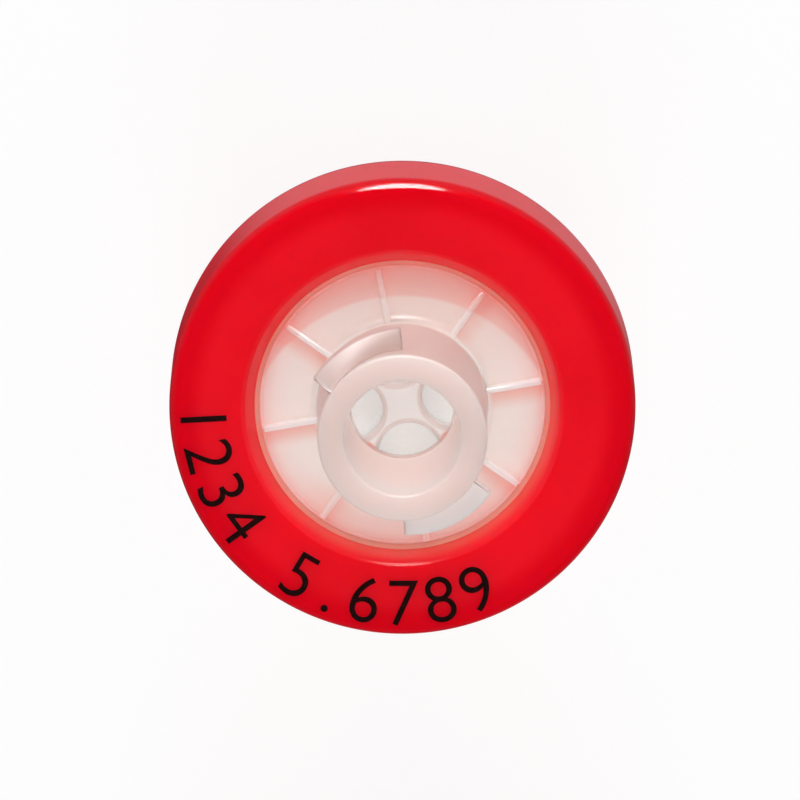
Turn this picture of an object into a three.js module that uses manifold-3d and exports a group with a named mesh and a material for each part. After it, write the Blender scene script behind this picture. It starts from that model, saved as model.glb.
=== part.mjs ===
// Syringe filter, 13 mm class: two polypropylene halves clamp a membrane, and a coloured ring is
// moulded round their rims. Millimetres. +Z runs up the flow axis, out of the inlet, and the origin is
// the centre of the inlet hub's mouth. Angles count anticlockwise from +X, seen from the inlet.

import * as THREE from 'three';
import { mergeVertices } from 'three/addons/utils/BufferGeometryUtils.js';
import Module from 'manifold-3d';

const wasm = await Module();
wasm.setup();

// ---------------------------------------------------------------- driving dimensions

// Luer cones: 6 % of their length is lost in diameter
const LUER_TAPER = 0.06;
const INLET_MOUTH_DIAMETER = 4.3;
const OUTLET_TIP_DIAMETER = 3.97;
const OUTLET_CONE_LENGTH = 8.4;
const LUMEN_DIAMETER = 2.0;

// Inlet hub
const HUB_HEIGHT = 6.0;
const HUB_WALL = 0.98;
const HUB_DRAFT = 0.01;
const HUB_BASE_FILLET = 0.3;
const MOUTH_EDGE = 0.12;

// Locking lugs at the hub's mouth: a right-hand thread with as many starts as lugs
const LUG_COUNT = 2;
const LUG_REACH = 0.77;
const LUG_ROOT_HEIGHT = 1.15;
const LUG_TIP_HEIGHT = 0.65;
const LUG_ARC_DEGREES = 62;
const LUG_END_DRAFT_DEGREES = 4.5;
const LUG_START_DEGREES = 88;
const THREAD_LEAD = 5.0;

// Inlet plate
const INLET_PLATE_THICKNESS = 1.1;
const INLET_FLANGE_THICKNESS = 0.6;
const CHAMBER_DEPTH = 0.25;
const SPACER_WIDTH = 0.35;

// Baffle that spreads the flow at the bottom of the bore
const BORE_SINK = 0.1;
const PORT_COUNT = 4;
const PORT_INSET = 0.07;
const PORT_WEB = 0.39;
const PORT_START_DEGREES = 8;

// Radial ribs on the outer faces of both halves
const RIB_COUNT = 8;
const RIB_WIDTH = 0.3;
const RIB_TOP_WIDTH = 0.2;
const RIB_HEIGHT = 0.28;
const RIB_START_DEGREES = 10;

// Membrane
const MEMBRANE_DIAMETER = 13.0;
const MEMBRANE_THICKNESS = 0.2;
const SEAL_WIDTH = 0.8;

// Outlet plate and its drain pattern
const OUTLET_PLATE_THICKNESS = 1.3;
const POCKET_WALL = 1.3;
const DRAIN_DEPTH = 0.4;
const DRAIN_GROOVE_COUNT = 5;
const DRAIN_LAND_WIDTH = 0.4;
const DRAIN_CHANNEL_COUNT = 8;
const DRAIN_CHANNEL_WIDTH = 0.5;
const FUNNEL_WIDTH = 0.45;
const FUNNEL_DEPTH = 0.35;

// Outlet nozzle
const COLLAR_HEIGHT = 1.5;
const COLLAR_STEP = 0.56;
const COLLAR_EDGE = 0.25;
const TIP_EDGE = 0.18;

// Overmoulded ring
const RING_WALL = 0.78;
const RING_EDGE_RADIUS = 0.45;
const LIP_THICKNESS = 0.8;
const LIP_COVER = 2.57;
const LIP_DRAFT_WIDTH = 0.45;
const LIP_EDGE_RADIUS = 0.42;

// Clearances
const POCKET_CLEARANCE = 0.05;
const SPACER_CLEARANCE = 0.05;
const MOULD_CLEARANCE = 0.02;
const RIB_END_CLEARANCE = 0.08;

// How far a piece that is joined or cut reaches into or past its neighbour
const OVERLAP = 0.05;

// Facets
const TURN_SEGMENTS = 72;
const PORT_SEGMENTS = 32;
const ARC_SEGMENTS = 4;
const LUG_SEGMENTS = 12;

// ---------------------------------------------------------------- levels and radii that follow

const radians = THREE.MathUtils.degToRad;

const mouthZ = 0;
const plateTopZ = mouthZ - HUB_HEIGHT;
const ringTopZ = plateTopZ + LIP_THICKNESS;
const jointZ = plateTopZ - INLET_FLANGE_THICKNESS;
const membraneTopZ = plateTopZ - INLET_PLATE_THICKNESS;
const chamberZ = membraneTopZ + CHAMBER_DEPTH;
const seatZ = membraneTopZ - MEMBRANE_THICKNESS;
const drainZ = seatZ - DRAIN_DEPTH;
const outletFaceZ = seatZ - OUTLET_PLATE_THICKNESS;
const ringBottomZ = outletFaceZ - LIP_THICKNESS;
const collarZ = outletFaceZ - COLLAR_HEIGHT;
const tipZ = collarZ - OUTLET_CONE_LENGTH;

const membraneRadius = MEMBRANE_DIAMETER / 2;
const chamberRadius = membraneRadius - SEAL_WIDTH;
const spigotRadius = membraneRadius + POCKET_CLEARANCE;
const pocketRadius = spigotRadius + POCKET_CLEARANCE;
const rimRadius = pocketRadius + POCKET_WALL;
const cavityRadius = rimRadius + MOULD_CLEARANCE;
const ringRadius = cavityRadius + RING_WALL;
const windowRadius = rimRadius - LIP_COVER;
const ribEndRadius = windowRadius - RIB_END_CLEARANCE;

const mouthRadius = INLET_MOUTH_DIAMETER / 2;
const boreFloorZ = plateTopZ - BORE_SINK;
const boreFloorRadius = mouthRadius + (boreFloorZ * LUER_TAPER) / 2;
const hubRadius = mouthRadius + HUB_WALL;
const hubBaseRadius = hubRadius + HUB_HEIGHT * HUB_DRAFT;
const lugRootRadius = hubRadius - HUB_WALL / 2;
const lugTipRadius = hubRadius + LUG_REACH;
const portCentreRadius = boreFloorRadius - PORT_INSET;
const portRadius = portCentreRadius * Math.sin(Math.PI / PORT_COUNT) - PORT_WEB / 2;

const tipRadius = OUTLET_TIP_DIAMETER / 2;
const coneBaseRadius = tipRadius + (OUTLET_CONE_LENGTH * LUER_TAPER) / 2;
const collarRadius = coneBaseRadius + COLLAR_STEP;
const lumenRadius = LUMEN_DIAMETER / 2;
const funnelRadius = lumenRadius + FUNNEL_WIDTH;

// ---------------------------------------------------------------- shapes

const point = (radius, z) => new THREE.Vector2(radius, z);

// Rounded corner of a turned profile, its centre given, with both ends of the arc
function roundCorner(centreRadius, centreZ, radius, fromDegrees, toDegrees) {
  const clockwise = toDegrees < fromDegrees;
  const corner = new THREE.EllipseCurve(
    centreRadius, centreZ, radius, radius, radians(fromDegrees), radians(toDegrees), clockwise,
  );
  return corner.getPoints(ARC_SEGMENTS);
}

// Solid turned round Z from a profile that starts and ends on the axis, or closes on itself
const turn = (profile) => new THREE.LatheGeometry(profile, TURN_SEGMENTS).rotateX(Math.PI / 2);

// Flat ring between two radii and two levels
function washer(innerRadius, outerRadius, lowZ, highZ) {
  const start = point(innerRadius, lowZ);
  return turn([start, point(outerRadius, lowZ), point(outerRadius, highZ), point(innerRadius, highZ), start]);
}

// Bar of trapezoid section, its wide side down at z = 0, running out along +X
function radialBar(innerRadius, outerRadius, height, baseWidth, topWidth) {
  const section = new THREE.Shape([
    point(-baseWidth / 2, 0),
    point(baseWidth / 2, 0),
    point(topWidth / 2, height),
    point(-topWidth / 2, height),
  ]);
  const bar = new THREE.ExtrudeGeometry(section, { depth: outerRadius - innerRadius, bevelEnabled: false });
  const outAlongX = new THREE.Matrix4().makeBasis(
    new THREE.Vector3(0, 1, 0), new THREE.Vector3(0, 0, 1), new THREE.Vector3(1, 0, 0),
  );
  return bar.applyMatrix4(outAlongX).translate(innerRadius, 0, 0);
}

// Copies of a shape, spread evenly round Z
function around(shape, count, startDegrees) {
  const copyAt = (_, index) => shape.clone().rotateZ(radians(startDegrees + (index * 360) / count));
  return Array.from({ length: count }, copyAt);
}

// ---------------------------------------------------------------- joining and cutting

// A closed shape as a solid; the slivers that a profile leaves on the axis are dropped
function toSolid(shape) {
  const bare = shape.clone();
  bare.deleteAttribute('normal');
  bare.deleteAttribute('uv');
  const merged = mergeVertices(bare);
  const corners = [];
  for (let start = 0; start < merged.index.count; start += 3) {
    const triangle = [0, 1, 2].map((corner) => merged.index.getX(start + corner));
    if (new Set(triangle).size === 3) {
      corners.push(...triangle);
    }
  }
  return new wasm.Manifold(new wasm.Mesh({
    numProp: 3,
    vertProperties: merged.attributes.position.array,
    triVerts: Uint32Array.from(corners),
  }));
}

const join = (solid, shapes) => shapes.reduce((sum, shape) => sum.add(toSolid(shape)), solid);
const cut = (solid, shapes) => shapes.reduce((rest, shape) => rest.subtract(toSolid(shape)), solid);

function toMesh(name, solid, material) {
  const { vertProperties, triVerts } = solid.getMesh();
  const indexed = new THREE.BufferGeometry();
  indexed.setAttribute('position', new THREE.BufferAttribute(vertProperties, 3));
  indexed.setIndex(new THREE.BufferAttribute(triVerts, 1));
  const faceted = indexed.toNonIndexed();
  faceted.computeVertexNormals();
  const mesh = new THREE.Mesh(faceted, material);
  mesh.name = name;
  return mesh;
}

// ---------------------------------------------------------------- inlet half

// Ribs on an outer face: they leave the hub or collar and stop short of the ring's lip
const faceRib = (rootRadius) => radialBar(
  rootRadius - OVERLAP, ribEndRadius, RIB_HEIGHT + OVERLAP, RIB_WIDTH, RIB_TOP_WIDTH,
).translate(0, 0, -OVERLAP);

// Locking lug: a sector with drafted ends, thinner at its tip, bent along the thread's helix so that
// its anticlockwise end is flush with the mouth
function lockingLug() {
  const sector = new THREE.Shape();
  const tipStart = radians(LUG_END_DRAFT_DEGREES);
  const tipEnd = radians(LUG_ARC_DEGREES - LUG_END_DRAFT_DEGREES);
  sector.absarc(0, 0, lugTipRadius, tipStart, tipEnd, false);
  sector.absarc(0, 0, lugRootRadius, radians(LUG_ARC_DEGREES), 0, true);
  const unitHeight = { depth: 1, bevelEnabled: false, curveSegments: LUG_SEGMENTS };
  const lug = new THREE.ExtrudeGeometry(sector, unitHeight);
  const corner = new THREE.Vector3();
  const { position } = lug.attributes;
  for (let index = 0; index < position.count; index += 1) {
    corner.fromBufferAttribute(position, index);
    const outward = (Math.hypot(corner.x, corner.y) - lugRootRadius) / (lugTipRadius - lugRootRadius);
    const height = THREE.MathUtils.lerp(LUG_ROOT_HEIGHT, LUG_TIP_HEIGHT, outward);
    const turnLeft = (radians(LUG_ARC_DEGREES) - Math.atan2(corner.y, corner.x)) / (2 * Math.PI);
    const middleZ = mouthZ - LUG_ROOT_HEIGHT / 2 - THREAD_LEAD * turnLeft;
    position.setZ(index, middleZ + (corner.z - 0.5) * height);
  }
  return lug;
}

function inletHousing() {
  const body = turn([
    point(0, chamberZ),
    point(chamberRadius, chamberZ),
    point(chamberRadius, membraneTopZ),
    point(spigotRadius, membraneTopZ),
    point(spigotRadius, jointZ),
    point(rimRadius, jointZ),
    point(rimRadius, plateTopZ),
    ...roundCorner(hubBaseRadius + HUB_BASE_FILLET, plateTopZ + HUB_BASE_FILLET, HUB_BASE_FILLET, 270, 180),
    point(hubRadius, mouthZ - MOUTH_EDGE),
    point(hubRadius - MOUTH_EDGE, mouthZ),
    point(mouthRadius + MOUTH_EDGE / 2, mouthZ),
    point(mouthRadius - (MOUTH_EDGE * LUER_TAPER) / 2, mouthZ - MOUTH_EDGE),
    point(boreFloorRadius, boreFloorZ),
    point(0, boreFloorZ),
  ]);

  const ribs = around(faceRib(hubBaseRadius).translate(0, 0, plateTopZ), RIB_COUNT, RIB_START_DEGREES);
  const lugs = around(lockingLug(), LUG_COUNT, LUG_START_DEGREES);

  // Spacers keep the membrane off the plate, one under each rib
  const spacerHeight = CHAMBER_DEPTH - SPACER_CLEARANCE + OVERLAP;
  const spacer = radialBar(hubBaseRadius, chamberRadius + OVERLAP, spacerHeight, SPACER_WIDTH, SPACER_WIDTH)
    .translate(0, 0, membraneTopZ + SPACER_CLEARANCE);
  const spacers = around(spacer, RIB_COUNT, RIB_START_DEGREES);

  // Ports scallop the bore's floor and run on as pockets under the hub's wall
  const portHeight = boreFloorZ - chamberZ + 2 * OVERLAP;
  const port = new THREE.CylinderGeometry(portRadius, portRadius, portHeight, PORT_SEGMENTS)
    .rotateX(Math.PI / 2)
    .translate(portCentreRadius, 0, (boreFloorZ + chamberZ) / 2);
  const ports = around(port, PORT_COUNT, PORT_START_DEGREES);

  return cut(join(toSolid(body), [...ribs, ...lugs, ...spacers]), ports);
}

// ---------------------------------------------------------------- outlet half

// Drain pattern under the membrane: ring grooves between lands, crossed by radial channels
function drainCuts() {
  const pitch = (chamberRadius - funnelRadius) / DRAIN_GROOVE_COUNT;
  const grooves = Array.from({ length: DRAIN_GROOVE_COUNT }, (_, index) => {
    const innerRadius = funnelRadius + index * pitch + DRAIN_LAND_WIDTH;
    return washer(innerRadius, funnelRadius + (index + 1) * pitch, drainZ, seatZ + OVERLAP);
  });
  const channelEnd = chamberRadius - (pitch - DRAIN_LAND_WIDTH) / 2;
  const channel = radialBar(
    lumenRadius, channelEnd, DRAIN_DEPTH + OVERLAP, DRAIN_CHANNEL_WIDTH, DRAIN_CHANNEL_WIDTH,
  ).translate(0, 0, drainZ);
  return [...grooves, ...around(channel, DRAIN_CHANNEL_COUNT, RIB_START_DEGREES)];
}

function outletHousing() {
  const lumenEdge = point(lumenRadius, tipZ);
  const body = turn([
    lumenEdge,
    point(tipRadius - TIP_EDGE, tipZ),
    point(tipRadius + (TIP_EDGE * LUER_TAPER) / 2, tipZ + TIP_EDGE),
    point(coneBaseRadius, collarZ),
    point(collarRadius - COLLAR_EDGE, collarZ),
    point(collarRadius, collarZ + COLLAR_EDGE),
    point(collarRadius, outletFaceZ),
    point(rimRadius, outletFaceZ),
    point(rimRadius, jointZ),
    point(pocketRadius, jointZ),
    point(pocketRadius, seatZ),
    point(funnelRadius, seatZ),
    point(funnelRadius, drainZ),
    point(lumenRadius, drainZ - FUNNEL_DEPTH),
    lumenEdge,
  ]);

  const rib = faceRib(collarRadius).rotateX(Math.PI).translate(0, 0, outletFaceZ);
  return cut(join(toSolid(body), around(rib, RIB_COUNT, RIB_START_DEGREES)), drainCuts());
}

// ---------------------------------------------------------------- membrane and ring

function membrane() {
  return toSolid(turn([
    point(0, seatZ),
    point(membraneRadius, seatZ),
    point(membraneRadius, membraneTopZ),
    point(0, membraneTopZ),
  ]));
}

// The ring wraps both rims in a C section; each lip has a drafted, rounded edge round its window
function overmouldRing() {
  const wallRadius = windowRadius + LIP_DRAFT_WIDTH;
  const lipCentre = wallRadius + LIP_EDGE_RADIUS;
  const edgeCentre = ringRadius - RING_EDGE_RADIUS;
  const lipFoot = point(windowRadius, outletFaceZ);
  return toSolid(turn([
    lipFoot,
    ...roundCorner(lipCentre, ringBottomZ + LIP_EDGE_RADIUS, LIP_EDGE_RADIUS, 180, 270),
    ...roundCorner(edgeCentre, ringBottomZ + RING_EDGE_RADIUS, RING_EDGE_RADIUS, -90, 0),
    ...roundCorner(edgeCentre, ringTopZ - RING_EDGE_RADIUS, RING_EDGE_RADIUS, 0, 90),
    ...roundCorner(lipCentre, ringTopZ - LIP_EDGE_RADIUS, LIP_EDGE_RADIUS, 90, 180),
    point(windowRadius, plateTopZ),
    point(cavityRadius, plateTopZ),
    point(cavityRadius, outletFaceZ),
    lipFoot,
  ]));
}

// ---------------------------------------------------------------- the filter

const plastic = (color, roughness, opacity) => new THREE.MeshStandardMaterial({
  color, roughness, metalness: 0, opacity, transparent: opacity < 1,
});

const filter = new THREE.Group();
filter.add(toMesh('inlet_housing', inletHousing(), plastic(0xf3ebe6, 0.35, 0.6)));
filter.add(toMesh('membrane', membrane(), plastic(0xfbfaf7, 0.9, 1)));
filter.add(toMesh('outlet_housing', outletHousing(), plastic(0xf1e9e4, 0.4, 0.6)));
filter.add(toMesh('overmould_ring', overmouldRing(), plastic(0xe3141f, 0.3, 1)));

export default filter;
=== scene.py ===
"""Dresses a small luer-lock syringe filter and sets it on a plain studio stage.

Metres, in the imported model's frame: +Z runs up the flow axis, out of the inlet, and the origin is the
centre of the inlet hub's mouth. Angles count anticlockwise from +X, seen from the inlet.
"""

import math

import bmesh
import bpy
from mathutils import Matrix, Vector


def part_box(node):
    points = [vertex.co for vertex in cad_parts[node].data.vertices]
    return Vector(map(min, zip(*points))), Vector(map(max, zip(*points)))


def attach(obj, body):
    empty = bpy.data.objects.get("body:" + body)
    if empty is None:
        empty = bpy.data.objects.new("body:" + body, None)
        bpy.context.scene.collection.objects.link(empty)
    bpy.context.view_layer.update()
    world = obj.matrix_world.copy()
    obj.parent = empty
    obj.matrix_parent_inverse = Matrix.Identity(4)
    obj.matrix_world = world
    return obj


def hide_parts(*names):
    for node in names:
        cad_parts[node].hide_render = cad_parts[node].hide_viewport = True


bl_info = {
    "name": "Syringe Filter",
    "version": (1, 0, 0),
    "blender": (4, 5, 0),
    "location": "3D View > Sidebar > Filter",
    "description": "Builds the smooth mouldings, membrane and print of a syringe filter, and a plain stage",
    "category": "Add Mesh",
}

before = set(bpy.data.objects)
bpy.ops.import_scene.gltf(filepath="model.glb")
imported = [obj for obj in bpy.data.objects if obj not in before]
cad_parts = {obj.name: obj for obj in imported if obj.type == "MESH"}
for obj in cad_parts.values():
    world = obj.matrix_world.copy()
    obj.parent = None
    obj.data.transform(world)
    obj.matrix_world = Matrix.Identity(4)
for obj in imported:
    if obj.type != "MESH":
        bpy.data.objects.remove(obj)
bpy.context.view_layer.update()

MM = 0.001
FULL_TURN = 2 * math.pi
WELD = 0.0002 * MM

# Steps of the spins, and the angle past which an edge counts as sharp
BODY_STEPS = 192
RING_STEPS = 256
GROOVE_STEPS = 96
PORT_STEPS = 64
LUG_STEPS = 24
SHARP = math.radians(30)
CREASE = math.radians(40)
SAME_ANGLE = 1e-4
FLOOR_RADIUS = 1.2

# Print: a digit's height over the font's size, and where each digit stands round the ring, in degrees
DIGIT_SHARE = 0.7
DIGIT_PLACES = (183, 194, 205, 216, 239, 249, 259, 270, 281, 292)

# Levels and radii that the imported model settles
_, inlet_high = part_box("inlet_housing")
outlet_low, outlet_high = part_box("outlet_housing")
membrane_low, membrane_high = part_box("membrane")
ring_low, ring_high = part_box("overmould_ring")

mouth_z = inlet_high.z
ring_top_z = ring_high.z
joint_z = outlet_high.z
membrane_top_z = membrane_high.z
seat_z = membrane_low.z
ring_bottom_z = ring_low.z
tip_z = outlet_low.z
rim_radius = inlet_high.x
ring_radius = ring_high.x
membrane_radius = membrane_high.x


# ---------------------------------------------------------------- settings


def size(name, description, millimetres):
    return bpy.props.FloatProperty(
        name=name, description=description, default=millimetres * MM,
        unit="LENGTH", subtype="DISTANCE", precision=5)


def angle(name, description, degrees):
    return bpy.props.FloatProperty(
        name=name, description=description, default=math.radians(degrees), unit="ROTATION", subtype="ANGLE")


def power(name, description, watts):
    return bpy.props.FloatProperty(name=name, description=description, default=watts, unit="POWER")


def amount(name, description, default):
    return bpy.props.FloatProperty(name=name, description=description, default=default, subtype="FACTOR")


def count(name, description, default):
    return bpy.props.IntProperty(name=name, description=description, default=default, min=1)


def colour(name, description, default):
    return bpy.props.FloatVectorProperty(
        name=name, description=description, default=default, size=3, min=0, max=1, subtype="COLOR")


class BodySettings(bpy.types.PropertyGroup):
    """Sizes of the two polypropylene halves."""

    lip: size("Lip", "Thickness of the ring's lip over each plate", 0.8)
    mouth: size("Mouth radius", "Radius of the inlet bore at its mouth", 2.15)
    hub: size("Hub radius", "Outside radius of the inlet hub at its mouth", 3.13)
    hub_base: size("Hub base radius", "Outside radius of the inlet hub where it meets the plate", 3.19)
    hub_fillet: size("Hub fillet", "Radius at the foot of the hub", 0.3)
    bore_fillet: size("Bore fillet", "Rounding where the bore meets its floor", 0.25)
    bore_sink: size("Bore sink", "How far the bore goes on below the plate's outer face", 0.1)
    luer_taper: amount("Luer taper", "Diameter lost for each length of a luer cone", 0.06)
    edge: size("Edge", "Rounding of the moulded edges", 0.1)
    lug_reach: size("Lug reach", "How far a lug stands out of the hub", 0.77)
    lug_sink: size("Lug sink", "How far a lug's root goes into the hub's wall", 0.4)
    lug_root_height: size("Lug root height", "Height of a lug where it leaves the hub", 1.15)
    lug_tip_height: size("Lug tip height", "Height of a lug at its tip", 0.65)
    lug_edge: size("Lug edge", "Rounding of a lug's edges", 0.06)
    lug_arc: angle("Lug arc", "Angle that a lug spans at its root", 62)
    lug_end_draft: angle("Lug end draft", "Angle that each end of a lug loses at its tip", 4.5)
    lug_start: angle("Lug start", "Angle of the first lug's low end", 88)
    thread_lead: size("Thread lead", "Rise of the locking thread in one turn", 5.0)
    chamber: size("Chamber depth", "Gap between the inlet plate and the membrane", 0.25)
    spacer_width: size("Spacer width", "Width of the ribs that keep the membrane off the plate", 0.35)
    seal: size("Seal width", "Width of the membrane's clamped edge", 0.8)
    port_count: count("Ports", "Ports through the baffle at the bottom of the bore", 4)
    port_offset: size("Port offset", "Distance of a port's centre from the axis", 1.897)
    port: size("Port radius", "Radius of a port", 1.146)
    port_start: angle("Port start", "Angle of the first port", 8)
    rib_count: count("Ribs", "Radial ribs on each outer face", 8)
    rib_width: size("Rib width", "Width of a rib at its foot", 0.3)
    rib_top_width: size("Rib top width", "Width of a rib at its top", 0.2)
    rib_height: size("Rib height", "Height of a rib", 0.28)
    rib_edge: size("Rib edge", "Rounding of a rib's top", 0.04)
    rib_end: size("Rib end", "Radius at which the ribs stop short of the ring", 5.25)
    rib_start: angle("Rib start", "Angle of the first rib", 10)
    ridge: size("Ridge", "Outer radius of the ridge along the ring's lip", 5.33)
    ridge_width: size("Ridge width", "Width of the ridge at its foot", 0.13)
    ridge_height: size("Ridge height", "Height of the ridge over the plate", 0.05)
    ridge_draft: size("Ridge draft", "How far the ridge's outer flank leans in", 0.02)
    clearance: size("Clearance", "Play between the halves and the membrane", 0.05)
    drain: size("Drain depth", "Depth of the grooves under the membrane", 0.4)
    drain_grooves: count("Drain grooves", "Ring grooves under the membrane", 5)
    drain_land: size("Drain land", "Width of the lands between the grooves", 0.4)
    drain_channel: size("Drain channel", "Width of the radial channels under the membrane", 0.5)
    funnel: size("Funnel radius", "Radius of the funnel at the top of the lumen", 1.45)
    funnel_depth: size("Funnel depth", "Depth of the funnel below the grooves", 0.35)
    lumen: size("Lumen radius", "Radius of the nozzle's lumen", 1.0)
    lumen_edge: size("Lumen edge", "Rounding of the lumen's mouth", 0.06)
    collar_height: size("Collar height", "Height of the collar under the outlet plate", 1.5)
    collar_step: size("Collar step", "How far the collar stands out of the cone", 0.56)
    collar_edge: size("Collar edge", "Rounding of the collar's edge", 0.25)
    collar_fillet: size("Collar fillet", "Radius at the foot of the collar and of the cone", 0.12)
    nozzle_tip: size("Nozzle tip radius", "Outside radius of the nozzle at its tip", 1.985)
    nozzle_edge: size("Nozzle edge", "Rounding of the nozzle's tip", 0.18)


class RingSettings(bpy.types.PropertyGroup):
    """Sizes of the ring that is moulded round both rims, and of the digits printed on it."""

    wall: size("Wall", "Thickness of the ring outside the rims", 0.78)
    window: size("Window radius", "Radius of the lip where it meets the plate", 5.33)
    lip_draft: size("Lip draft", "How far the lip's edge leans back over its thickness", 0.60)
    lip_foot: size("Lip foot", "How far the thin foot of the lip stands out of its slope", 0.16)
    lip_foot_height: size("Lip foot height", "Height of the lip's thin foot over the plate", 0.14)
    lip_step: size("Lip step", "Width of the step between the lip's foot and its slope", 0.04)
    outer_round: size("Outer rounding", "Rounding of the outer edges", 0.45)
    lip_round: size("Lip rounding", "Rounding of the edge round each window", 0.15)
    digits: bpy.props.StringProperty(name="Digits", description="Digits round the ring", default="12345.6789")
    digit_height: size("Digit height", "Height of a digit", 1.8)
    digit_radius: size("Digit radius", "Radius of the middle of the digits", 7.4)
    film: size("Film", "Thickness of the printed film", 0.006)
    stroke_trim: size("Stroke trim", "How much thinner each side of a stroke is than the font's", 0.018)


class FinishSettings(bpy.types.PropertyGroup):
    """Colours of the materials."""

    polypropylene: colour("Polypropylene", "Natural translucent polypropylene", (0.92, 0.82, 0.77))
    flow_mark: colour("Flow mark", "Flow marks in the polypropylene", (0.902, 0.779, 0.724))
    milkiness: size("Milkiness", "How far light wanders through the polypropylene", 2.5)
    # Painted shade and light: the ring lip's and the ribs' painted shadows on the plate, and along the bond
    # the ring's red with painted red reflected light
    ring_red_and_painted_shade: colour("Ring glow", "Polypropylene that the ring's colour shows through", (0.88, 0.52, 0.47))
    # Partly the thicker plastic of a rib, partly a painted highlight on ribs that run across the light; also
    # the painted bright rim of the lower lug's tip
    rib: colour("Rib", "Polypropylene where a rib thickens it", (1.0, 0.97, 0.93))
    # Painted red light: the hub's mouth is painted pink for light that the hub carries up from the ring
    hub: colour("Hub", "Polypropylene of the hub's mouth, with the ring's colour in it", (0.90, 0.66, 0.61))
    # Painted shade and light: the bore's wall is darker towards -Y, where the lamps fall on it, and lighter
    # towards +Y
    bore_painted_shade: colour("Bore front", "Side of the bore's wall that the light falls on", (0.83, 0.71, 0.68))
    bore_painted_light: colour("Bore back", "The rest of the bore's wall", (0.98, 0.86, 0.82))
    # Painted light and shade: the hub's wall and lugs are lighter towards -Y and darker towards +Y, where the
    # lamps fall on them
    hub_painted_light: colour("Hub front", "Side of the hub that shows the light it carries", (1.0, 0.84, 0.80))
    hub_painted_shade: colour("Hub back", "Side of the hub that the light goes through", (0.66, 0.50, 0.46))
    lug_painted_shade: colour("Lug back", "The lug that the light goes through", (0.61, 0.46, 0.42))
    baffle: colour("Baffle", "Polypropylene over the white membrane", (0.74, 0.78, 0.79))
    # Painted shade round the edge of each port
    port_edge_painted_shade: colour("Port edge", "Polypropylene round the edge of a port", (0.60, 0.55, 0.54))
    # Painted shade in the corner where the bore meets its floor
    bore_corner_painted_shade: colour("Bore corner", "Polypropylene where the bore meets its floor", (0.68, 0.38, 0.34))
    polypropylene_light: colour("Polypropylene light", "Light let through by one face", (0.92, 0.90, 0.89))
    membrane: colour("Membrane", "Matt white membrane", (0.88, 0.94, 0.95))
    membrane_felt: colour("Membrane felt", "Hollows between the membrane's fibres", (0.836, 0.884, 0.893))
    membrane_light: colour("Membrane light", "Light let through by one face of the membrane", (0.7, 0.7, 0.7))
    ring: colour("Ring", "Coloured polypropylene", (0.90, 0.008, 0.022))
    ring_flow: colour("Ring flow", "Flow marks in the ring", (0.837, 0.0064, 0.0187))
    # Painted shade: the ring's faces darker near their outer edge
    ring_edge_painted_shade: colour("Ring edge", "Outer edge of the ring's faces", (0.792, 0.0008, 0.0132))
    # Painted shade: the side wall's darker red; its matt grain is real
    ring_side: colour("Ring side", "Matt side wall of the ring", (0.675, 0.0176, 0.0308))
    # Painted shade: the side wall darker towards its foot
    ring_under_painted_shade: colour("Ring under", "Lowest part of the side wall", (0.36, 0.0064, 0.0176))
    # Partly the thin plastic of the slope, mostly painted light towards +X and -Y
    lip_slope: colour("Lip slope", "Thin slope of the ring's lip", (0.93, 0.085, 0.07))
    lip_foot: colour("Lip foot", "Thin edge of the lip, with the plate showing through", (1.0, 0.32, 0.26))
    ring_light: colour("Ring light", "Light let through by one face of the ring", (0.9, 0.06, 0.06))
    ink: colour("Ink", "Printing ink", (0.008, 0.001, 0.001))
    thin_ink: colour("Thin ink", "Printing ink where it lies thinner", (0.0176, 0.0012, 0.0012))
    floor: colour("Floor", "Plain pale floor", (0.86, 0.86, 0.86))


class StudioSettings(bpy.types.PropertyGroup):
    """The stage's lamps and camera. Lamps stand in the plane of the flow axis and +Y, and aim at the ring."""

    tilt: angle("Camera tilt", "Angle between the line of sight and the flow axis", 12)
    distance: size("Camera distance", "Distance of the camera from the ring's top face", 400)
    lens: bpy.props.FloatProperty(name="Lens", description="Focal length", default=483, unit="CAMERA")
    aside: size("Aim aside", "How far the camera aims to the left of the ring's centre", 0.09)
    above: size("Aim above", "How far the camera aims above the ring's centre in the view", 0.335)
    lamp_distance: size("Lamp distance", "Distance of the lamps from the ring's top face", 400)
    key_angle: angle("Key angle", "Angle between the key lamp and the flow axis", 66)
    key: power("Key lamp", "Power of the key lamp", 0.8)
    shine_angle: angle("Shine angle", "Angle between the shine lamp and the flow axis", 45)
    shine: power("Shine lamp", "Power of the lamp that shows in gloss alone", 3.0)
    overhead_angle: angle("Overhead angle", "Angle between the overhead lamp and the flow axis", 5.7)
    overhead: power("Overhead lamp", "Power of the overhead lamp", 0.22)
    fill_angle: angle("Fill angle", "Angle between the fill lamp and the flow axis", -38.9)
    fill: power("Fill lamp", "Power of the fill lamp, in front of the ring", 0.42)
    sky: amount("Sky", "Strength of the even light from all round", 0.325)
    zenith: amount("Zenith", "Brightness of the sky that a glossy face reflects", 0.06)
    front: amount("Front", "Brightness of the floor that a glossy face reflects", 0.02)
    surround: amount("Surround", "Brightness added to the floor behind the ring in reflections", 0.6)
    floor_glow: amount("Floor glow", "Share of plain white in the floor that the camera sees", 0.8)


# ---------------------------------------------------------------- materials


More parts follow.
